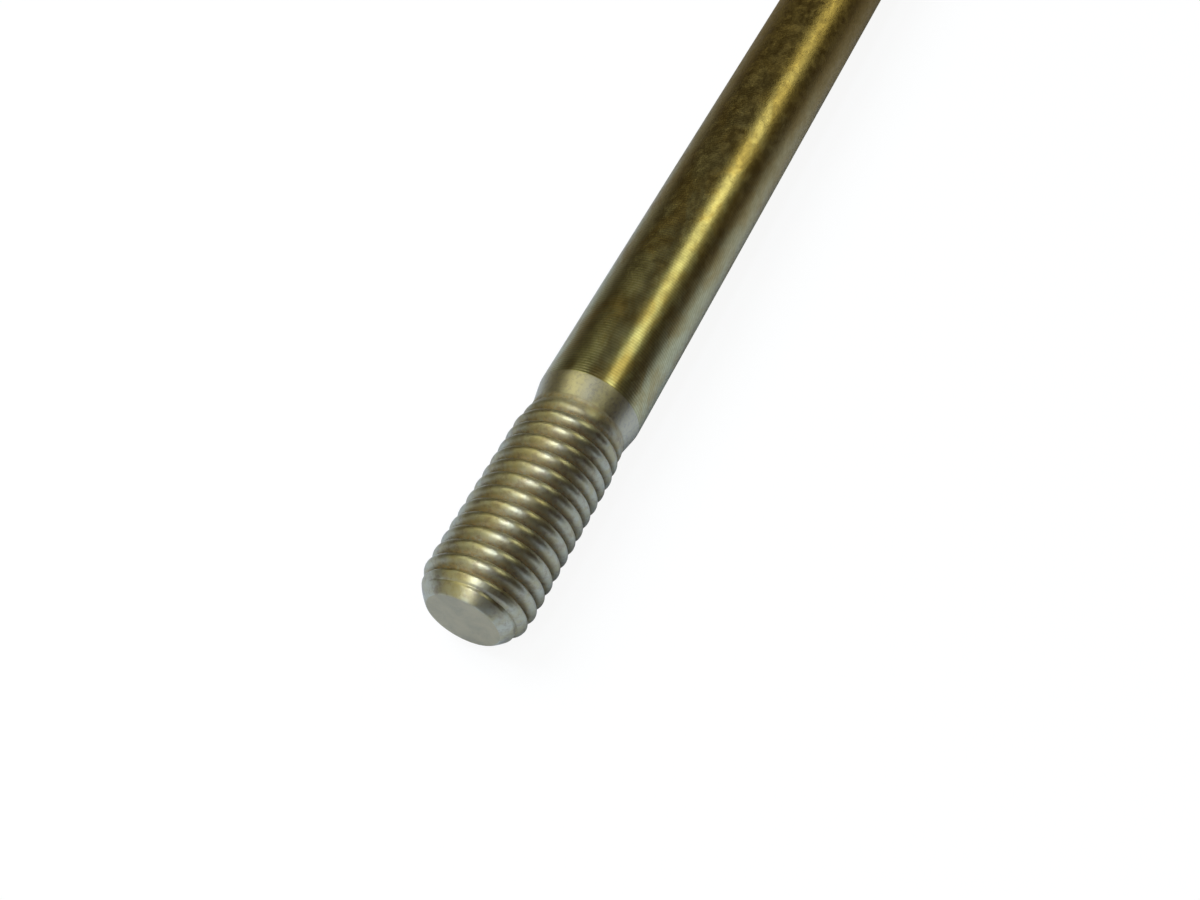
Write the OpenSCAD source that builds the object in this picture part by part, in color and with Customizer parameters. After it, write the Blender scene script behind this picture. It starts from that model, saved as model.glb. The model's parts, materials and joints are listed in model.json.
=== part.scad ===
// Frame bolt: a long hexagon-head bolt with a plain shank, a short taper down to the blank that
// the metric thread is rolled on, and a rounded tip with a flat face. It is one piece of steel.
// It lies as it comes to rest on a level surface, on one flat of the head and on the thread near
// the tip. X runs along the bolt from the tip to the head, Z is up, and the origin is on the
// surface under the middle of the bolt. Millimetres.

/* [Thread] */
// Nominal diameter of the metric thread.
thread_d = 12; // [10:0.5:16]
// Distance along the axis from one crest to the next.
thread_pitch = 1.75; // [1:0.25:2]
// Turns of thread from the tip face to the foot of the taper.
thread_turns = 14.75; // [8:0.25:20]
// Turns over which the rolled ridges die out below the taper.
runout_turns = 2; // [1:0.5:4]
// Play taken off the nominal diameter at the crests.
thread_play = 0.03; // [0:0.01:0.2]
// Where the thread starts round the axis, in degrees.
thread_start = 180; // [0:15:345]

/* [Tip] */
// Diameter of the flat end face.
tip_face_d = 8.2; // [6:0.1:9]
// Length over which the tip rounds up to the full thread.
tip_round_len = 3.5; // [2:0.25:7]

/* [Shank] */
// Length from under the head to the tip face.
bolt_len = 140; // [80:5:200]
// Play taken off the nominal diameter on the plain shank.
shank_play = 0.05; // [0:0.05:0.6]
// Length of the taper from the end of the thread up to the shank.
taper_len = 2.7; // [1:0.1:6]
// Radius of the fillet between the shank and the head.
fillet_r = 0.6; // [0.2:0.1:1]

/* [Head] */
// Width across the flats.
head_flats = 18; // [16:0.5:24]
// Height of the head, with its washer face.
head_h = 7.5; // [5:0.25:12]
// How much narrower the round washer face that bears on the work is than the flats.
washer_face_drop = 1.4; // [0.4:0.1:2.4]
// Height of the washer face.
washer_face_h = 0.6; // [0.2:0.1:1]
// How much narrower the flat circle on top of the head, inside the chamfer, is than the flats.
head_top_drop = 1; // [0.2:0.1:3]
// Angle of the chamfer round the top of the head.
chamfer_angle = 30; // [15:5:45]

/* [Hidden] */
$fn = 96;
// Share of the pitch between the nominal diameter and the pitch diameter, and between the
// crest and the root, in the metric thread form.
PITCH_DIAMETER_DROP = 0.6495;
THREAD_DEPTH_SHARE = 0.6134;
// One pitch as it is rolled, from crest to crest, with broad round crests and narrow roots:
// [share of the pitch, share of the depth].
THREAD_FORM = [[0, 0], [0.18, 0.1], [0.34, 0.42], [0.5, 1], [0.66, 0.42], [0.82, 0.1]];
// Where the tip is rounded the ridges stand lower, by this share of what the rounding takes off.
// The groove nearest the tip is shallower than the others by this much, in millimetres.
TIP_DROP_SHARE = 0.8;
FIRST_GROOVE_RISE = 0.12;
// Columns of points round one turn of thread.
COLUMNS = 48;
// The foot of the taper stands this much proud of the facets of the blank. The threaded end runs
// up inside the taper by this share of the pitch, and the taper runs down inside the threaded end
// until it is this much thinner than at its foot.
FOOT_PROUD = 0.02;
LAP_TURNS = 0.25;
TAPER_SINK = 0.2;

crest_r = (thread_d - thread_play) / 2;
root_r = crest_r - THREAD_DEPTH_SHARE * thread_pitch;
blank_r = (thread_d - PITCH_DIAMETER_DROP * thread_pitch) / 2;
thread_len = thread_turns * thread_pitch;
lapped_len = thread_len + LAP_TURNS * thread_pitch;
runout_len = runout_turns * thread_pitch;
tip_face_r = tip_face_d / 2;

shank_r = (thread_d - shank_play) / 2;
shank_z = thread_len + taper_len;
foot_r = blank_r + FOOT_PROUD;
taper_slope = (shank_r - foot_r) / taper_len;
hex_z = bolt_len + washer_face_h;
head_z = bolt_len + head_h;
corner_r = head_flats / 2 / cos(30);
washer_face_d = head_flats - washer_face_drop;
head_top_r = (head_flats - head_top_drop) / 2;
chamfer_h = (corner_r - head_top_r) * tan(chamfer_angle);

// The bolt tips down until the thread, or the end of a stout shank, meets the surface.
rest_tilt = min(
    atan((head_flats / 2 - crest_r) / (hex_z - tip_round_len)),
    atan((head_flats / 2 - shank_r) / (hex_z - shank_z)));
rest_z = head_flats / 2 * cos(rest_tilt) - hex_z * sin(rest_tilt);
rest_x = -(head_z * cos(rest_tilt) + (head_top_r - tip_face_r) * sin(rest_tilt)) / 2;

// Rows of points on the helix, from below the tip face to above the lapped end.
ROWS_A_TURN = len(THREAD_FORM);
ROWS = ROWS_A_TURN * (ceil(thread_turns + LAP_TURNS) + 1);

// Height of a row where it crosses a column: each column is one step further up the helix.
function row_z(column, row) =
    thread_pitch
    * (floor(row / ROWS_A_TURN) + THREAD_FORM[row % ROWS_A_TURN][0] + column / COLUMNS - 1);

// Radius that the rounding of the tip leaves to the crests at a height.
function tip_r(z) =
    z >= tip_round_len ? crest_r : crest_r - (crest_r - tip_face_r) * pow(1 - z / tip_round_len, 2);

// Radius of the bottom of the groove at a height. It reaches the root within two turns of the tip.
function groove_r(z) = root_r + FIRST_GROOVE_RISE * min(1, max(0, 2 - z / (0.7 * thread_pitch)));

// Radius of the ridge at a height, for a point this share of the depth below its crest. The ridge
// grows out of the rounded tip.
function ridge_r(z, depth) =
    let (full_r = crest_r - depth * (crest_r - root_r))
    min(tip_r(z), max(groove_r(z), full_r - TIP_DROP_SHARE * (crest_r - tip_r(z))));

// Radius of the thread, whose ridges die out below the taper.
function thread_r(z, depth) =
    blank_r + min(1, max(0, (thread_len - z) / runout_len)) * (ridge_r(z, depth) - blank_r);

// The last row at or below the tip face, and the first at or above the lapped end, in each column.
function first_row(column, row) = row_z(column, row + 1) > 0 ? row : first_row(column, row + 1);
function last_row(column, row) = row_z(column, row - 1) < lapped_len ? row : last_row(column, row - 1);
FIRST = [for (column = [0 : COLUMNS - 1]) first_row(column, 0)];
LAST = [for (column = [0 : COLUMNS - 1]) last_row(column, ROWS)];

function thread_point(column, row) =
    let (
        angle = thread_start + 360 * column / COLUMNS,
        z = min(lapped_len, max(0, row_z(column, row))),
        r = thread_r(z, THREAD_FORM[row % ROWS_A_TURN][1]))
    [r * cos(angle), r * sin(angle), z];

// Number of a point. Past the last column the helix goes on in the first one, a whole turn of rows up.
function point_id(column, row) =
    column == COLUMNS
    ? point_id(0, row + ROWS_A_TURN)
    : column * (ROWS + 1) + min(LAST[column], max(FIRST[column], row));

function sliver(f) = f[0] == f[1] || f[1] == f[2] || f[2] == f[0];

// Threaded end: a right-hand helical ridge, closed by the flat tip face and by a flat inside the taper.
module threaded_end() {
    points = [for (column = [0 : COLUMNS - 1], row = [0 : ROWS]) thread_point(column, row)];
    skin = [
        for (column = [0 : COLUMNS - 1], row = [0 : ROWS - 1])
            let (
                a = point_id(column, row),
                b = point_id(column + 1, row),
                c = point_id(column + 1, row + 1),
                d = point_id(column, row + 1))
            each [[a, c, b], [a, d, c]]
    ];
    tip = [for (column = [0 : COLUMNS - 1]) point_id(column, 0)];
    end = [for (column = [COLUMNS - 1 : -1 : 0]) point_id(column, ROWS)];
    polyhedron(points, concat([for (f = skin) if (!sliver(f)) f], [tip, end]));
}

// Taper, shank and the fillet under the head, turned as one profile.
module shank() {
    rotate_extrude()
        difference() {
            polygon([
                [0, thread_len - TAPER_SINK / taper_slope],
                [foot_r - TAPER_SINK, thread_len - TAPER_SINK / taper_slope],
                [shank_r, shank_z],
                [shank_r, bolt_len - fillet_r],
                [shank_r + fillet_r, bolt_len],
                [shank_r + fillet_r, hex_z],
                [0, hex_z],
            ]);
            translate([shank_r + fillet_r, bolt_len - fillet_r])
                circle(fillet_r);
        }
}

// Hexagon head with a round washer face below and a chamfer round the top.
module head() {
    translate([0, 0, bolt_len])
        cylinder(h = head_h / 2, d = washer_face_d);
    intersection() {
        translate([0, 0, hex_z])
            rotate(30)
                cylinder(h = head_h - washer_face_h, r = corner_r, $fn = 6);
        rotate_extrude()
            polygon([
                [0, bolt_len],
                [corner_r + 1, bolt_len],
                [corner_r + 1, head_z - chamfer_h - tan(chamfer_angle)],
                [head_top_r, head_z],
                [0, head_z],
            ]);
    }
}

module frame_bolt() {
    color([0.56, 0.49, 0.24])
        translate([rest_x, 0, rest_z])
            rotate([0, 90 - rest_tilt, 0])
                union() {
                    threaded_end();
                    shank();
                    head();
                }
}

frame_bolt();
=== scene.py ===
"""Looks of the frame bolt: a long steel bolt with a rolled thread, plated in yellow-chromated zinc.

The bolt lies on a white floor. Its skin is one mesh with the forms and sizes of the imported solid,
and with the fine forms that the solid leaves out: the smooth crests and roots of the thread, and
the broken edges. X runs along the bolt from the tip to the head, and Z is up.
"""

import json
import math

import bpy
import numpy as np
from mathutils import Matrix, Vector

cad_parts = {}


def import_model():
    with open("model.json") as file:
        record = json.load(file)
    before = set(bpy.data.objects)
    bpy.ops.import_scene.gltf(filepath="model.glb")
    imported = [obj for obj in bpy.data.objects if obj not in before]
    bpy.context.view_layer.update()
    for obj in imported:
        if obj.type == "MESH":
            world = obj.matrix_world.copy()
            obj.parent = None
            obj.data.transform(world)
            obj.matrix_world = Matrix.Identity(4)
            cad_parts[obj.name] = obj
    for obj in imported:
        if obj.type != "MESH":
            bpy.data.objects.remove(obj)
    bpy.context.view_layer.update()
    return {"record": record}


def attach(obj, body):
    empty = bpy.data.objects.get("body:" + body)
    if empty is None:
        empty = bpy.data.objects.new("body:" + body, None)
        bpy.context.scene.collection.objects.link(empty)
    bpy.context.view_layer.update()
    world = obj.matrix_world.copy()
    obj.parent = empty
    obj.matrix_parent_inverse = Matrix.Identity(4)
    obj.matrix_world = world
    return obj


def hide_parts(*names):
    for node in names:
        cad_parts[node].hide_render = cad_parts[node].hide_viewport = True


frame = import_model()
NODE = "frame_bolt"
MM = 0.001

# ---------------------------------------------------------------- sizes, in millimetres
# Thread: metric, right-hand.
THREAD_D, PITCH, TURNS = 12.0, 1.75, 14.75
RUNOUT_TURNS, THREAD_PLAY = 2.0, 0.03
THREAD_START = 180.0  # degrees
DEPTH_SHARE, PITCH_DIAMETER_DROP = 0.6134, 0.6495  # in pitches
CREST_HALF, ROOT_HALF = 0.4, 0.06  # half widths of the round crest and root, in pitches
FLANK = math.radians(66)  # between a flank and the axis
# Tip: the flat face, its broken edge and the rounding.
TIP_FACE_R, TIP_ROUND_LEN = 4.1, 3.5
TIP_EDGE, TIP_EDGE_Z = 0.16, 0.12
TIP_DROP_SHARE = 0.8  # of what the rounding takes off, by which the ridges get lower there
FIRST_GROOVE_RISE, FIRST_GROOVE_LEN = 0.12, 0.7 * PITCH  # the groove nearest the face is shallower
# Shank.
BOLT_LEN, SHANK_PLAY, TAPER_LEN, FILLET_R, FOOT_PROUD = 140.0, 0.05, 2.7, 0.6, 0.02
# Head.
FLATS, HEAD_H, WASHER_R, WASHER_H, TOP_R = 18.0, 7.5, 8.3, 0.6, 8.5
CHAMFER = math.radians(30)
# Rounds: the corners between the flats, the other edges, and where washer face and hexagon meet.
CORNER_ROUND, EDGE_ROUND, WASHER_ROUND = 0.35, 0.12, 0.08
# Widths over which two forms blend into each other.
ROOT_BLEND, TIP_BLEND, FOOT_BLEND, SHANK_BLEND = 0.01, 0.02, 0.03, 0.04
FOOT_REACH = 3.0  # the taper can meet the ridges this far before its foot

CREST_R = (THREAD_D - THREAD_PLAY) / 2
ROOT_R = CREST_R - DEPTH_SHARE * PITCH
BLANK_R = (THREAD_D - PITCH_DIAMETER_DROP * PITCH) / 2
THREAD_LEN = TURNS * PITCH
RUNOUT_LEN = RUNOUT_TURNS * PITCH
SHANK_R = (THREAD_D - SHANK_PLAY) / 2
SHANK_Z = THREAD_LEN + TAPER_LEN
FOOT_R = BLANK_R + FOOT_PROUD
HEX_Z = BOLT_LEN + WASHER_H
HEAD_Z = BOLT_LEN + HEAD_H

# ---------------------------------------------------------------- where the bolt lies
mounts = {m["name"]: m for m in frame["record"]["mounts"]}
TIP = Vector(mounts["thread"]["pos_m"])
AXIS = -Vector(mounts["thread"]["axis"]).normalized()
SIDE = Vector((0.0, 1.0, 0.0))
DOWN = SIDE.cross(AXIS)
PLACE = np.array([DOWN, SIDE, AXIS])  # rows: the bolt's own x, y and z


def world(points):
    """Points in the bolt's own frame, in mm, as points in the part's frame, in metres."""
    return np.array(TIP) + MM * np.asarray(points) @ PLACE


# ---------------------------------------------------------------- the turned and rolled part
def thread_depth(share):
    """Share of the thread's depth below the crest, at a share of the way between two crests."""
    v = np.minimum(share % 1, 1 - share % 1)
    crest_round = CREST_HALF * PITCH / math.sin(FLANK)
    root_round = ROOT_HALF * PITCH / math.sin(FLANK)
    crest_drop = crest_round * (1 - math.cos(FLANK))
    flank_drop = (0.5 - CREST_HALF - ROOT_HALF) * PITCH * math.tan(FLANK)
    full = crest_drop + flank_drop + root_round * (1 - math.cos(FLANK))
    crest = crest_round - np.sqrt(np.maximum(crest_round**2 - (v * PITCH) ** 2, 0))
    flank = crest_drop + (v - CREST_HALF) * PITCH * math.tan(FLANK)
    in_root = (0.5 - v) * PITCH
    root = full - root_round + np.sqrt(np.maximum(root_round**2 - in_root**2, 0))
    return np.where(v < CREST_HALF, crest, np.where(v < 0.5 - ROOT_HALF, flank, root)) / full


def tip_r(z):
    """Radius that the rounding of the tip leaves to the crests."""
    return CREST_R - (CREST_R - TIP_FACE_R) * np.maximum(1 - z / TIP_ROUND_LEN, 0) ** 2


def soft_max(a, b, width):
    return (a + b + np.sqrt((a - b) ** 2 + width**2)) / 2


def turned_r(angle, z):
    """Radius of the thread, taper and shank at an angle in degrees and a height."""
    depth = thread_depth(z / PITCH - (angle - THREAD_START) / 360)
    fade = np.clip((THREAD_LEN - z) / RUNOUT_LEN, 0, 1)
    lost = CREST_R - tip_r(z)
    groove = ROOT_R + FIRST_GROOVE_RISE * np.clip(2 - z / FIRST_GROOVE_LEN, 0, 1)
    ridge = CREST_R - depth * (CREST_R - ROOT_R) - TIP_DROP_SHARE * lost
    ridge = soft_max(ridge, groove, ROOT_BLEND)
    ridge = -soft_max(-tip_r(z), -ridge, TIP_BLEND)
    thread = BLANK_R + fade * (ridge - BLANK_R)
    cone = FOOT_R + (z - THREAD_LEN) * (SHANK_R - FOOT_R) / TAPER_LEN
    cone = SHANK_R - soft_max(SHANK_R - cone, 0, SHANK_BLEND)
    return np.where(z > THREAD_LEN - FOOT_REACH, soft_max(thread, cone, FOOT_BLEND), thread)


SLOPE_STEP, SLOPE_TURN = 0.004, 0.05  # over which slopes are measured, in mm and degrees


def turned_points(angle, z):
    """Points and normals of that surface."""
    r = turned_r(angle, z)
    rise = turned_r(angle, z + SLOPE_STEP) - turned_r(angle, z - SLOPE_STEP)
    dr_dz = rise / (2 * SLOPE_STEP)
    rise = turned_r(angle + SLOPE_TURN, z) - turned_r(angle - SLOPE_TURN, z)
    dr_da = rise / math.radians(2 * SLOPE_TURN)
    c, s = np.cos(np.radians(angle)), np.sin(np.radians(angle))
    normal = np.stack([c + s * dr_da / r, s - c * dr_da / r, -dr_dz], -1)
    normal = normal / np.linalg.norm(normal, axis=-1, keepdims=True)
    return np.stack([r * c, r * s, z], -1), normal


# ---------------------------------------------------------------- the mesh
THREAD_KIND, SHANK_KIND, FACE_KIND, HEAD_KIND = range(4)  # the order of the materials
COLUMNS = 144
ANGLES = [2 * math.pi * k / COLUMNS + math.radians(THREAD_START) for k in range(COLUMNS)]
DEGREES = np.degrees(ANGLES)
CREST_STEPS, FLANK_STEPS, ROOT_STEPS = 14, 3, 6
HELIX_Z = 0.85  # where the rows of points start to follow the helix
HAIR = 1e-6  # a row this close to a limit lies on it
TAPER_RINGS = (0.1, 0.3, 0.7, 1.3, 1.9, 2.4, 2.55, 2.65, 2.7, 2.75, 2.85, 3.0, 3.3)  # from its foot
SHANK_RINGS, SHANK_RINGS_Z = 72, 30  # their number, and the height of the first
# Radii of the rings on the flat end face, the bearing face and the top of the head.
FACE_RINGS, BEARING_RINGS, TOP_RINGS = (0.5, 1.2, 2.0, 2.8, 3.5), (7.1, 7.7), (7.2, 5.5, 3.5, 1.5)
LEDGE = 0.25  # from the rim of the washer face out to the last ring before the hexagon


class Skin:
    """Points, normals and faces of one closed skin."""

    def __init__(self):
        self.points, self.normals, self.faces, self.kinds = [], [], [], []

    def add(self, point, normal):
        self.points.append(tuple(point))
        self.normals.append(tuple(normal))
        return len(self.points) - 1

    def ring(self, r, z, nr, nz):
        """A round ring of points, with normals of this outward and this axial part."""
        around = [(math.cos(a), math.sin(a)) for a in ANGLES]
        return [self.add((r * c, r * s, z), (nr * c, nr * s, nz)) for c, s in around]

    def turned_ring(self, z):
        """A ring of points on the turned and rolled part."""
        points, normals = turned_points(DEGREES, np.full(COLUMNS, z))
        return [self.add(p, n) for p, n in zip(points, normals)]

    def face(self, ids, kind):
        kept = [v for k, v in enumerate(ids) if v != ids[k - 1]]
        if len(set(kept)) >= 3:
            self.faces.append(kept)
            self.kinds.append(kind)

    def join(self, low, high, kind):
        """Quads between two rings of as many points. Gives the ring further along the skin."""
        n = len(low)
        for k in range(n):
            self.face([low[k], low[(k + 1) % n], high[(k + 1) % n], high[k]], kind)
        return high

    def knit(self, low, low_angles, high, high_angles, kind):
        """Triangles between two rings of different counts, both going round by rising angle."""
        i = j = 0
        n, m = len(low), len(high)
        low_angles = [*low_angles, low_angles[0] + 2 * math.pi]
        high_angles = [*high_angles, high_angles[0] + 2 * math.pi]
        while i < n or j < m:
            if j >= m or (i < n and low_angles[i + 1] <= high_angles[j + 1]):
                self.face([low[i % n], low[(i + 1) % n], high[j % m]], kind)
                i += 1
            else:
                self.face([low[i % n], high[(j + 1) % m], high[j % m]], kind)
                j += 1


def add_tip(skin):
    """The flat end face, its broken edge and the rounding up to the rows of the thread."""
    pole = skin.add((0, 0, 0), (0, 0, -1))
    rings = [skin.ring(r, 0, 0, -1) for r in (*FACE_RINGS, TIP_FACE_R - TIP_EDGE)]
    for k in range(COLUMNS):
        skin.face([pole, rings[0][(k + 1) % COLUMNS], rings[0][k]], FACE_KIND)
    low = rings[0]
    for high in rings[1:]:
        low = skin.join(low, high, FACE_KIND)
    edge_r = float(tip_r(TIP_EDGE_Z))
    slope = 2 * (CREST_R - TIP_FACE_R) / TIP_ROUND_LEN * (1 - TIP_EDGE_Z / TIP_ROUND_LEN)
    end_turn = math.atan2(1, slope)  # from the axis to the normal of the rounding
    for t in (0.25, 0.5, 0.75):
        r = (1 - t) ** 2 * (TIP_FACE_R - TIP_EDGE) + 2 * t * (1 - t) * TIP_FACE_R + t * t * edge_r
        turn = end_turn * t
        high = skin.ring(r, t * t * TIP_EDGE_Z, math.sin(turn), -math.cos(turn))
        low = skin.join(low, high, FACE_KIND if t < 0.4 else THREAD_KIND)
    for z in np.linspace(TIP_EDGE_Z, HELIX_Z, 5)[:-1]:
        low = skin.join(low, skin.turned_ring(z), THREAD_KIND)
    return low


def pitch_shares():
    """Where the rows of points lie in one pitch, from crest to crest."""
    def swing(half_width, share):
        return half_width * math.sin(FLANK * share) / math.sin(FLANK)

    crest, root = CREST_STEPS // 2, ROOT_STEPS // 2
    flank = 0.5 - CREST_HALF - ROOT_HALF
    half = [swing(CREST_HALF, k / crest) for k in range(crest)]
    half += [CREST_HALF + flank * k / FLANK_STEPS for k in range(FLANK_STEPS)]
    half += [0.5 - swing(ROOT_HALF, 1 - k / root) for k in range(root)]
    return half + [0.5] + [1 - v for v in half[:0:-1]]


def add_thread(skin, low):
    """Rows of points that follow the helix, cut off below and at the foot of the taper."""
    shares = pitch_shares()
    per_turn = len(shares)
    rows = per_turn * (math.ceil(TURNS) + 2)
    heights = np.array([
        [PITCH * (j // per_turn - 1 + shares[j % per_turn] + i / COLUMNS) for j in range(rows)]
        for i in range(COLUMNS)])
    first = [int(np.searchsorted(heights[i], HELIX_Z + HAIR)) - 1 for i in range(COLUMNS)]
    last = [int(np.searchsorted(heights[i], THREAD_LEN - HAIR)) for i in range(COLUMNS)]
    ids = np.zeros((COLUMNS, rows), int)
    for i in range(COLUMNS):
        z = np.clip(heights[i, first[i]:last[i] + 1], HELIX_Z, THREAD_LEN)
        points, normals = turned_points(np.full(len(z), DEGREES[i]), z)
        ids[i, first[i]:last[i] + 1] = [skin.add(p, n) for p, n in zip(points, normals)]
        ids[i, :first[i]] = ids[i, first[i]]
        ids[i, last[i] + 1:] = ids[i, last[i]]
    skin.join(low, [int(ids[i, first[i]]) for i in range(COLUMNS)], THREAD_KIND)

    def at(i, j):
        """The point in a row. Past the last column, that row runs on one turn higher."""
        if i == COLUMNS:
            return int(ids[0, min(j + per_turn, rows - 1)])
        return int(ids[i, j])

    for i in range(COLUMNS):
        for j in range(-per_turn if i == COLUMNS - 1 else 0, rows - 1):
            near = (int(ids[i, max(j, 0)]), int(ids[i, max(j + 1, 0)]))
            skin.face([near[0], at(i + 1, j), at(i + 1, j + 1), near[1]], THREAD_KIND)
    return [int(ids[i, last[i]]) for i in range(COLUMNS)]


def add_shank(skin, low):
    """The taper, the shank and the fillet."""
    heights = [THREAD_LEN + z for z in TAPER_RINGS]
    heights += list(np.linspace(SHANK_RINGS_Z, BOLT_LEN - FILLET_R, SHANK_RINGS))
    for z in heights:
        low = skin.join(low, skin.turned_ring(z), THREAD_KIND if z <= SHANK_Z else SHANK_KIND)
    for t in np.radians([18, 36, 54, 72, 90]):
        r = SHANK_R + FILLET_R * (1 - math.cos(t))
        z = BOLT_LEN - FILLET_R * (1 - math.sin(t))
        high = skin.ring(r, z, math.cos(t), -math.sin(t))
        low = skin.join(low, high, SHANK_KIND if t < 1 else HEAD_KIND)
    return low


def add_washer_face(skin, low):
    """The bearing face, the washer face and the ring where it meets the hexagon."""
    e, f = EDGE_ROUND, WASHER_ROUND
    for r in (*BEARING_RINGS, WASHER_R - e):
        low = skin.join(low, skin.ring(r, BOLT_LEN, 0, -1), HEAD_KIND)
    for t in np.radians([30, 60, 90]):
        r, z = WASHER_R - e + e * math.sin(t), BOLT_LEN + e - e * math.cos(t)
        low = skin.join(low, skin.ring(r, z, math.sin(t), -math.cos(t)), HEAD_KIND)
    for t in np.radians([0, 30, 60, 90]):
        r, z = WASHER_R + f - f * math.cos(t), HEX_Z - f + f * math.sin(t)
        low = skin.join(low, skin.ring(r, z, math.cos(t), -math.sin(t)), HEAD_KIND)
    return skin.join(low, skin.ring(WASHER_R + LEDGE, HEX_Z, 0, -1), HEAD_KIND)


def wrap(angle):
    """An angle in radians, between none and a full turn."""
    return angle % (2 * math.pi)


def hexagon_outline():
    """Points and outward directions round the hexagon, with rounded corners, one flat facing -X."""
    reach = (FLATS / 2 - CORNER_ROUND) * math.tan(math.pi / 6)
    outline = []
    for k in range(6):
        turn = k * math.pi / 3
        out = np.array([math.cos(turn), math.sin(turn)])
        along = np.array([-math.sin(turn), math.cos(turn)])
        for t in (-1, -0.96, -0.88, -0.75, -0.55, -0.3, 0, 0.3, 0.55, 0.75, 0.88, 0.96, 1):
            outline.append((out * FLATS / 2 + along * reach * t, out))
        centre = out * (FLATS / 2 - CORNER_ROUND) + along * reach
        for t in np.radians([10, 20, 30, 40, 50]):
            way = np.array([math.cos(turn + t), math.sin(turn + t)])
            outline.append((centre + CORNER_ROUND * way, way))
    turns = [wrap(math.atan2(q[1], q[0])) for q, _ in outline]
    start = turns.index(min(turns))
    return outline[start:] + outline[:start]


def add_hexagon(skin, ring):
    """The hexagon on its washer face, with the chamfer round the top."""
    outline = hexagon_outline()
    e = EDGE_ROUND
    cone_n = (math.sin(CHAMFER), math.cos(CHAMFER))

    def row(place):
        """A ring round the hexagon. place gives a point and a normal from a place on the outline,
        its outward direction and its distance from the axis."""
        return [skin.add(*place(np.array(q), np.array(n), float(np.hypot(*q)))) for q, n in outline]

    def flat(z_share):
        """On the flats, at a share of the way up to the chamfer."""
        def place(q, n, far):
            top = HEAD_Z - (far - TOP_R) * math.tan(CHAMFER) - e
            return (*q, HEX_Z + e + (top - HEX_Z - e) * z_share), (*n, 0)
        return place

    def under(t):
        """On the round below the flats, at an angle from straight down."""
        def place(q, n, far):
            point = (*(q - e * n * (1 - math.sin(t))), HEX_Z + e - e * math.cos(t))
            return point, (*(n * math.sin(t)), -math.cos(t))
        return place

    def over(t):
        """On the broken edge from a flat to the chamfer, at a share of the way."""
        def place(q, n, far):
            edge_z = HEAD_Z - (far - TOP_R) * math.tan(CHAMFER)
            out = q / far
            a, b = np.array([*q, edge_z - e]), np.array([*q, edge_z])
            c = np.array([*(q - out * e * math.cos(CHAMFER)), edge_z + e * math.sin(CHAMFER)])
            point = (1 - t) ** 2 * a + 2 * t * (1 - t) * b + t * t * c
            normal = (1 - t) * np.array([*n, 0]) + t * np.array([*(out * cone_n[0]), cone_n[1]])
            return point, normal / np.linalg.norm(normal)
        return place

    def chamfer(share):
        """On the chamfer, at a share of the way in."""
        def place(q, n, far):
            outer, inner = far - e * math.cos(CHAMFER), TOP_R + e * math.cos(CHAMFER)
            r = outer + (inner - outer) * share
            point = (*(q / far * r), HEAD_Z - (r - TOP_R) * math.tan(CHAMFER))
            return point, (*(q / far * cone_n[0]), cone_n[1])
        return place

    def top(r, z, lean):
        """A round ring on the top, with normals that lean outward by an angle."""
        def place(q, n, far):
            return (*(q / far * r), z), (*(q / far * math.sin(lean)), math.cos(lean))
        return place

    rows = [under(t) for t in np.radians([0, 30, 60])]
    rows += [flat(share) for share in (0, 0.1, 0.3, 0.5, 0.7, 0.9, 1)]
    rows += [over(t) for t in (0.25, 0.5, 0.75, 1)]
    rows += [chamfer(share) for share in (0.33, 0.66, 1)]
    rows += [top(TOP_R, HEAD_Z - e * 0.13, CHAMFER / 2), top(TOP_R - e, HEAD_Z, 0)]
    rows += [top(r, HEAD_Z, 0) for r in TOP_RINGS]
    low = row(rows[0])
    around = [wrap(math.atan2(q[1], q[0])) for q, _ in outline]
    order = sorted(range(COLUMNS), key=lambda k: wrap(ANGLES[k]))
    inner, inner_angles = [ring[k] for k in order], [wrap(ANGLES[k]) for k in order]
    skin.knit(inner, inner_angles, low, around, HEAD_KIND)
    for place in rows[1:]:
        low = skin.join(low, row(place), HEAD_KIND)
    pole = skin.add((0, 0, HEAD_Z), (0, 0, 1))
    for k in range(len(low)):
        skin.face([low[k], low[(k + 1) % len(low)], pole], HEAD_KIND)


def make_bolt():
    skin = Skin()
    low = add_shank(skin, add_thread(skin, add_tip(skin)))
    add_hexagon(skin, add_washer_face(skin, low))
    local = np.array(skin.points)
    mesh = bpy.data.meshes.new("bolt_skin")
    mesh.from_pydata(world(local).tolist(), [], skin.faces)
    mesh.polygons.foreach_set("material_index", skin.kinds)
    mesh.polygons.foreach_set("use_smooth", [True] * len(mesh.polygons))
    place = mesh.attributes.new("bolt_mm", "FLOAT_VECTOR", "POINT")
    place.data.foreach_set("vector", local.ravel())
    # How deep a point lies in a groove: 0 on the crests and plain parts, 1 in the roots.
    r = np.hypot(local[:, 0], local[:, 1])
    reach = np.where(local[:, 2] < THREAD_LEN, tip_r(local[:, 2]), r)
    groove = mesh.attributes.new("groove", "FLOAT", "POINT")
    groove.data.foreach_set("value", np.clip((reach - r) / (CREST_R - ROOT_R), 0, 1))
    normals = np.array(skin.normals) @ PLACE
    normals /= np.linalg.norm(normals, axis=1, keepdims=True)
    mesh.normals_split_custom_set_from_vertices(normals.tolist())
    mesh.validate()
    bolt = bpy.data.objects.new("frame_bolt_skin", mesh)
    bpy.context.scene.collection.objects.link(bolt)
    return bolt


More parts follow.
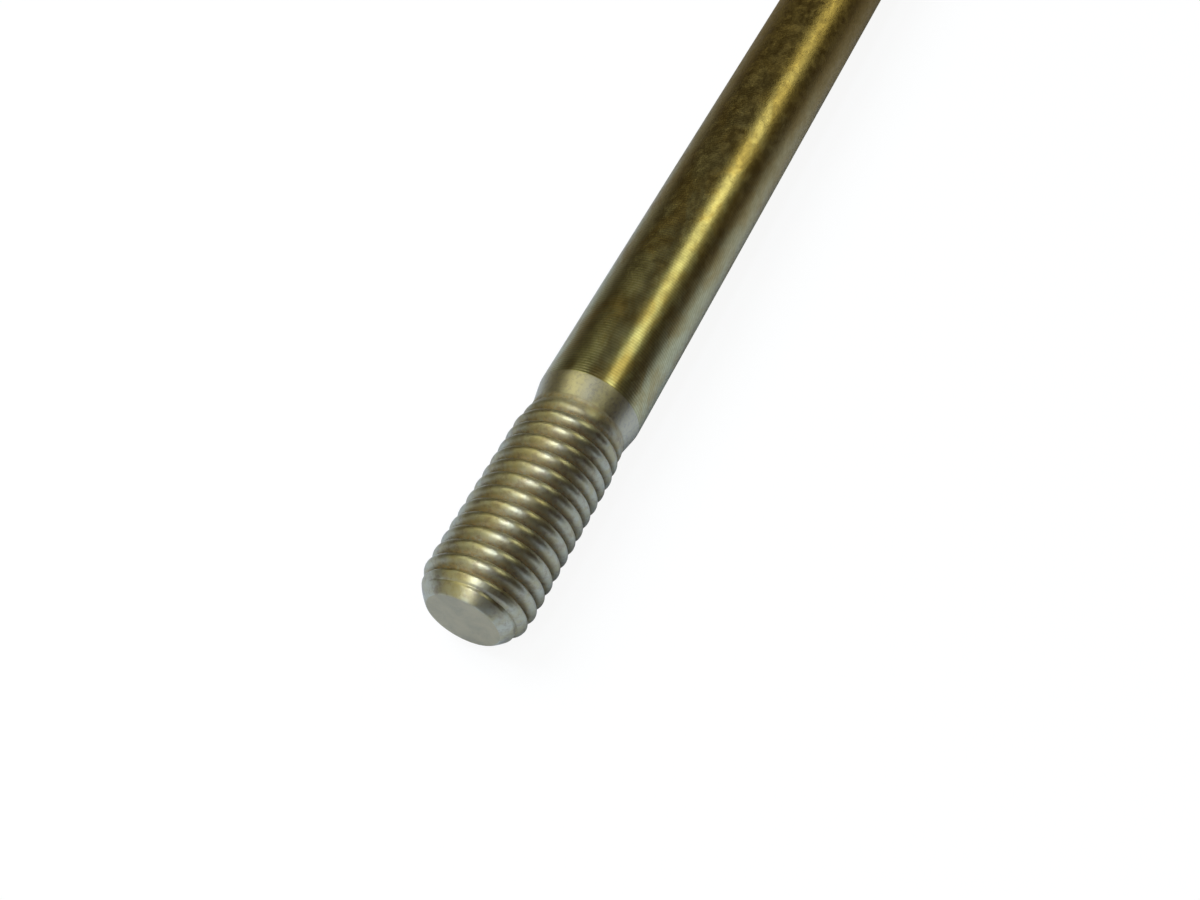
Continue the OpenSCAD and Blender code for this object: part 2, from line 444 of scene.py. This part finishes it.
# ---------------------------------------------------------------- materials
class Nodes:
    """A short way to write the node tree of a material or a world."""

    def __init__(self, owner):
        owner.use_nodes = True
        self.owner, self.tree = owner, owner.node_tree
        self.tree.nodes.clear()

    def put(self, socket, value):
        """Sets a socket to a value, or links it where the value is another node's socket."""
        if isinstance(value, bpy.types.NodeSocket):
            self.tree.links.new(value, socket)
        else:
            socket.default_value = value

    def add(self, kind, inputs=None, **settings):
        node = self.tree.nodes.new(kind)
        for key, value in settings.items():
            setattr(node, key, value)
        for key, value in (inputs or {}).items():
            self.put(node.inputs[key], value)
        return node

    def place(self):
        """Where the point lies in the bolt's own frame, in mm."""
        return self.add("ShaderNodeAttribute", attribute_name="bolt_mm").outputs["Vector"]

    def parts(self, vector):
        return self.add("ShaderNodeSeparateXYZ", {0: vector}).outputs

    def math(self, operation, a, b=0.0, c=0.0, clamp=False):
        inputs = {0: a, 1: b, 2: c}
        return self.add("ShaderNodeMath", inputs, operation=operation, use_clamp=clamp).outputs[0]

    def scaled(self, vector, by):
        return self.add("ShaderNodeVectorMath", {0: vector, 1: by}, operation="MULTIPLY").outputs[0]

    def noise(self, vector, scale, detail=4.0, roughness=0.55, distortion=0.0):
        inputs = {"Vector": vector, "Scale": scale, "Detail": detail, "Roughness": roughness,
                  "Distortion": distortion}
        return self.add("ShaderNodeTexNoise", inputs).outputs["Fac"]

    def span(self, value, low, high, to_low=0.0, to_high=1.0, smooth=True):
        inputs = {"Value": value, "From Min": low, "From Max": high,
                  "To Min": to_low, "To Max": to_high}
        kind = "SMOOTHSTEP" if smooth else "LINEAR"
        return self.add("ShaderNodeMapRange", inputs, interpolation_type=kind).outputs[0]

    def mix(self, fac, a, b):
        """A mix of two colours, each a socket or three numbers."""
        node = self.add("ShaderNodeMix", data_type="RGBA")
        for socket, value in zip((node.inputs[0], node.inputs[6], node.inputs[7]), (fac, a, b)):
            self.put(socket, (*value, 1.0) if isinstance(value, tuple) else value)
        return node.outputs[2]

    def bump(self, height, distance, normal=None):
        inputs = {"Height": height, "Distance": distance, "Strength": 1.0}
        if normal is not None:
            inputs["Normal"] = normal
        return self.add("ShaderNodeBump", inputs).outputs[0]

    def metal(self, colour, roughness, normal, anisotropic=None):
        """The finished material. Where anisotropic is given, its highlights run along the bolt."""
        inputs = {"Base Color": colour, "Metallic": 1.0, "Roughness": roughness, "Normal": normal}
        if anisotropic is not None:
            inputs["Anisotropic"] = anisotropic
            inputs["Tangent"] = self.add(
                "ShaderNodeCombineXYZ", {0: AXIS.x, 1: AXIS.y, 2: AXIS.z}).outputs[0]
        shader = self.add("ShaderNodeBsdfPrincipled", inputs)
        self.add("ShaderNodeOutputMaterial", {"Surface": shader.outputs[0]})
        return self.owner


# Colours of the plating.
OLIVE, BROWN, DEEP_BROWN = (0.60, 0.57, 0.32), (0.48, 0.37, 0.145), (0.43, 0.31, 0.10)
PALE, STRAW, TAPER_GOLD = (0.56, 0.54, 0.40), (0.52, 0.46, 0.27), (0.58, 0.53, 0.37)
GREY_GREEN, GREY_BROWN = (0.50, 0.43, 0.26), (0.43, 0.38, 0.25)
# Colours of grime and wear, and of the painted shade in the turning marks.
SHANK_GRIME, MARK_SHADE, SPECK = (0.28, 0.21, 0.08), (0.22, 0.19, 0.08), (0.06, 0.05, 0.03)
GROOVE_GRIME, THREAD_GRIME, TAPER_GRIME = (0.60, 0.45, 0.23), (0.36, 0.28, 0.20), (0.38, 0.34, 0.30)
FACE_GRIME, HEAD_GRIME = (0.33, 0.29, 0.2), (0.33, 0.28, 0.15)
MARK_SPACING, WAVE = 0.36, 0.3142  # of the turning marks, and of the wave texture at scale 1


def shank_material():
    n = Nodes(bpy.data.materials.new("plated_shank"))
    place = n.place()
    height = n.parts(place)[2]
    far = n.span(height, 35, 100, smooth=False)
    # Stains of the chromate: olive near the thread, browner further up.
    stain = n.noise(n.scaled(place, (1, 1, 0.5)), 0.35, 5, 0.6, 0.4)
    fine = n.noise(place, 2.2, 6, 0.65)
    brown = n.math("ADD", n.span(stain, 0.4, 0.68), n.math("MULTIPLY", far, 0.5), clamp=True)
    colour = n.mix(brown, OLIVE, BROWN)
    colour = n.mix(far, colour, DEEP_BROWN)
    colour = n.mix(n.span(fine, 0.35, 0.75, 0.0, 0.3), colour, SHANK_GRIME)
    # Turning marks, which are worn further up: real bumps, with painted shade along the rings.
    waves = {"Vector": place, "Scale": WAVE / MARK_SPACING, "Distortion": 0.4, "Detail": 0.0,
             "Detail Scale": 0.4}
    wave = n.add("ShaderNodeTexWave", waves, wave_type="BANDS", bands_direction="Z").outputs["Fac"]
    marks = n.math("MULTIPLY", wave, n.span(height, 42, 62, 1.0, 0.25))
    # Painted shade: the colour darkened along the rings of the turning marks.
    colour = n.mix(n.math("MULTIPLY", marks, 0.32), colour, MARK_SHADE)
    # Dark specks where the finish is worn.
    specks = n.span(n.noise(n.scaled(place, (1, 1, 0.6)), 4.5, 3, 0.6), 0.63, 0.70)
    worn = n.span(n.noise(place, 0.18, 3), 0.4, 0.6)
    speck = n.math("MULTIPLY", n.math("MULTIPLY", specks, worn), far)
    colour = n.mix(n.math("MULTIPLY", speck, 0.8), colour, SPECK)
    # Dull patches, duller further up.
    patch = n.span(n.noise(n.scaled(place, (1, 1, 0.7)), 0.9, 4, 0.55, 0.4), 0.34, 0.72)
    dull = n.math("MULTIPLY", patch, n.math("MULTIPLY_ADD", far, 0.10, 0.07))
    fleck = n.math("MULTIPLY", n.span(fine, 0.3, 0.7, 0.0, 0.09), far)
    dull = n.math("ADD", n.math("ADD", dull, fleck), n.math("MULTIPLY", speck, 0.15))
    # Never below 0.28, because the denoiser leaves dark dots where a roughness crosses 0.27.
    rough = n.math("ADD", n.span(stain, 0.3, 0.7, 0.284, 0.292), dull)
    grain = n.math("MULTIPLY", n.noise(n.scaled(place, (1, 1, 2)), 3.0, 3, 0.6), far)
    normal = n.bump(grain, 2.4e-5, n.bump(marks, 1.6e-5))
    return n.metal(colour, rough, normal, 0.3)


def thread_material():
    """The plating of the tip, the thread and the taper."""
    n = Nodes(bpy.data.materials.new("plated_thread"))
    place = n.place()
    height = n.parts(place)[2]
    groove = n.add("ShaderNodeAttribute", attribute_name="groove").outputs["Fac"]
    stain = n.noise(place, 0.5, 4, 0.6, 0.3)
    fine = n.noise(place, 3.0, 5, 0.6)
    mottle = n.noise(place, 1.3, 5, 0.7)
    dull = n.span(groove, 0.15, 0.8)  # the plating is dull in the grooves
    taper = n.span(height, THREAD_LEN - 0.5, THREAD_LEN + 0.6)
    colour = n.mix(n.span(stain, 0.35, 0.65), PALE, STRAW)
    colour = n.mix(n.math("MULTIPLY", dull, n.span(fine, 0.3, 0.7)), colour, GROOVE_GRIME)
    colour = n.mix(n.span(mottle, 0.46, 0.68, 0.0, 0.65), colour, THREAD_GRIME)
    colour = n.mix(taper, colour, TAPER_GOLD)
    grime = n.math("MULTIPLY", taper, n.span(fine, 0.45, 0.7, 0.0, 0.6))
    colour = n.mix(grime, colour, TAPER_GRIME)
    rough = n.span(height, THREAD_LEN - 1, THREAD_LEN + 0.5, 0.43, 0.42)
    rough = n.math("ADD", rough, n.math("MULTIPLY", dull, 0.38))
    anisotropic = n.math("MULTIPLY_ADD", taper, -0.4, 0.75)
    return n.metal(colour, rough, n.bump(fine, 2e-5), anisotropic)


def face_material():
    n = Nodes(bpy.data.materials.new("plated_end_face"))
    place = n.place()
    stain = n.noise(place, 0.45, 5, 0.6, 0.5)
    fine = n.noise(place, 4.0, 6, 0.7)
    colour = n.mix(n.span(stain, 0.35, 0.7), GREY_GREEN, GREY_BROWN)
    colour = n.mix(n.span(fine, 0.6, 0.75, 0.0, 0.35), colour, FACE_GRIME)
    return n.metal(colour, n.span(stain, 0.3, 0.7, 0.42, 0.5), n.bump(fine, 3e-5))


def head_material():
    n = Nodes(bpy.data.materials.new("plated_head"))
    place = n.place()
    stain = n.noise(place, 0.3, 5, 0.6, 0.6)
    fine = n.noise(place, 2.5, 6, 0.65)
    colour = n.mix(n.span(stain, 0.35, 0.68), OLIVE, BROWN)
    colour = n.mix(n.span(fine, 0.4, 0.75, 0.0, 0.4), colour, HEAD_GRIME)
    normal = n.bump(fine, 8e-6, n.bump(n.noise(place, 1.2, 4, 0.5), 2.5e-5))
    return n.metal(colour, n.span(fine, 0.3, 0.7, 0.29, 0.37), normal)


bolt = make_bolt()
for make in (thread_material, shank_material, face_material, head_material):
    bolt.data.materials.append(make())
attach(bolt, "root")
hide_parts(NODE)

# ---------------------------------------------------------------- camera
# Where the middle of the end face lies before the camera, in mm: to the right, down and ahead.
TIP_AT = (-13.286, 16.531, 135.552)
TURN, DIP = math.radians(25.0), math.radians(52.79)
UP = Vector((0, 0, 1))
ahead_level = Vector((math.cos(TURN), math.sin(TURN), 0))
right = Vector((math.sin(TURN), -math.cos(TURN), 0))
ahead = math.cos(DIP) * ahead_level - math.sin(DIP) * UP
above = math.sin(DIP) * ahead_level + math.cos(DIP) * UP
camera_at = TIP - MM * (TIP_AT[0] * right - TIP_AT[1] * above + TIP_AT[2] * ahead)


def matrix_at(x, y, z, at):
    """The matrix of an object with these directions and this place."""
    return Matrix((*((x[k], y[k], z[k], at[k]) for k in range(3)), (0, 0, 0, 1)))


camera_data = bpy.data.cameras.new("camera")
camera_data.sensor_width = 36.0
camera_data.lens = 42.0
camera_data.clip_start = 0.01
camera = bpy.data.objects.new("camera", camera_data)
camera.matrix_world = matrix_at(right, above, -ahead, camera_at)
bpy.context.scene.collection.objects.link(camera)
bpy.context.scene.camera = camera

# ---------------------------------------------------------------- floor and world
FLOOR_HALF = 3.0
WHITE_SHARE = 0.92  # of the floor's look to the camera that doesn't take shadows
# Painted light and shade of the floor as the metal sees it: a cool lit side, a shaded side and a
# shaded head end.
COOL_LIT_FLOOR, SHADED_SIDE_GREY, SHADED_FAR_GREY = (0.45, 0.50, 0.64), (0.20, 0.19, 0.15), (0.19, 0.17, 0.14)
WHITE = (1.0, 1.0, 1.0, 1.0)


def floor_material():
    n = Nodes(bpy.data.materials.new("floor"))
    path = n.add("ShaderNodeLightPath")
    plain = n.add("ShaderNodeBsdfDiffuse", {"Color": (0.8, 0.83, 0.86, 1.0)}).outputs[0]
    # The metal sees the floor duller than the camera does, with painted light and shade: a painted
    # cool light on one side, and painted shade that makes it darker and warmer towards the other
    # side and the head.
    x, y, _ = n.parts(n.add("ShaderNodeTexCoord").outputs["Object"])
    # Painted shade: the floor darker and warmer towards +Y.
    side = n.span(n.math("MULTIPLY_ADD", x, 0.25, y), 0.005, 0.045)
    colour = n.mix(side, COOL_LIT_FLOOR, SHADED_SIDE_GREY)
    # Painted shade: the floor darker towards the head.
    colour = n.mix(n.span(x, -0.03, 0.08), colour, SHADED_FAR_GREY)
    dull = n.add("ShaderNodeBsdfDiffuse", {"Color": colour}).outputs[0]
    choice = {0: path.outputs["Is Glossy Ray"], 1: plain, 2: dull}
    seen = n.add("ShaderNodeMixShader", choice).outputs[0]
    white = n.add("ShaderNodeEmission", {"Color": WHITE, "Strength": 1.0}).outputs[0]
    share = n.math("MULTIPLY", path.outputs["Is Camera Ray"], WHITE_SHARE)
    mixed = n.add("ShaderNodeMixShader", {0: share, 1: seen, 2: white}).outputs[0]
    n.add("ShaderNodeOutputMaterial", {"Surface": mixed})
    return n.owner


def studio():
    """The world: white to the camera, and dim and warm to the bolt."""
    n = Nodes(bpy.data.worlds.new("studio"))
    path = n.add("ShaderNodeLightPath")
    dim = n.add("ShaderNodeBackground", {"Color": (0.034, 0.024, 0.011, 1.0)}).outputs[0]
    white = n.add("ShaderNodeBackground", {"Color": WHITE}).outputs[0]
    choice = {0: path.outputs["Is Camera Ray"], 1: dim, 2: white}
    mixed = n.add("ShaderNodeMixShader", choice).outputs[0]
    n.add("ShaderNodeOutputWorld", {"Surface": mixed})
    return n.owner


floor_mesh = bpy.data.meshes.new("floor")
corners = [(x * FLOOR_HALF, y * FLOOR_HALF, 0) for x, y in ((-1, -1), (1, -1), (1, 1), (-1, 1))]
floor_mesh.from_pydata(corners, [], [(0, 1, 2, 3)])
floor_mesh.materials.append(floor_material())
floor = bpy.data.objects.new("floor", floor_mesh)
bpy.context.scene.collection.objects.link(floor)
bpy.context.scene.world = studio()

# ---------------------------------------------------------------- lamps
MIDDLE = TIP + AXIS * 45 * MM  # of what the camera sees of the bolt
LAMP_FAR = 1.3
to_camera = camera_at - TIP
CAMERA_SIDE = math.degrees(math.atan2(-to_camera.y, to_camera.dot(-DOWN)))


def lamp(name, turn, along, size_round, size_along, radiance, colour):
    """A soft lamp, at a turn in degrees round the bolt, from straight above towards -Y.

    along is the share of its way that runs along the bolt, towards the head.
    """
    a = math.radians(turn)
    across = -DOWN * math.cos(a) - SIDE * math.sin(a)
    z = (AXIS * along + across * math.sqrt(1 - along**2)).normalized()
    x = AXIS.cross(across).normalized()
    y = z.cross(x).normalized()
    data = bpy.data.lights.new(name, "AREA")
    data.shape = "RECTANGLE"
    data.size, data.size_y = size_round, size_along
    data.color = colour
    data.energy = radiance * math.pi * size_round * size_along
    light = bpy.data.objects.new(name, data)
    light.matrix_world = matrix_at(x, y, z, MIDDLE + z * LAMP_FAR)
    bpy.context.scene.collection.objects.link(light)
    light.visible_camera = False
    return light


WARM = (0.96, 0.96, 0.61)
# The strip makes the bright line along the shank. The card mostly lights the taper, and the
# window, spot, glint and side mostly light the thread and the tip.
lamp("strip", CAMERA_SIDE + 10.8, 0.62, 0.34, 0.75, 2.95, (0.96, 0.98, 0.61))
lamp("window", CAMERA_SIDE - 33, -0.44, 0.58, 1.55, 1.35, WARM)
lamp("spot", CAMERA_SIDE - 16.5, -0.62, 0.38, 1.8, 1.2, (0.92, 1.0, 1.15))
lamp("glint", CAMERA_SIDE - 20, -0.4, 0.12, 0.9, 12.0, (0.86, 1.0, 1.25))
lamp("card", CAMERA_SIDE - 52, 0.09, 0.6, 0.22, 5.2, WARM)
lamp("side", CAMERA_SIDE - 80, -0.6, 0.6, 2.1, 0.5, WARM)
# Light on the floor that the metal sees only as the brighter floor.
fill = lamp("fill", -30, 0, 0.8, 0.8, 8.6, (0.8, 0.86, 1.0))
fill.visible_glossy = False

bpy.context.scene.view_settings.view_transform = "Standard"
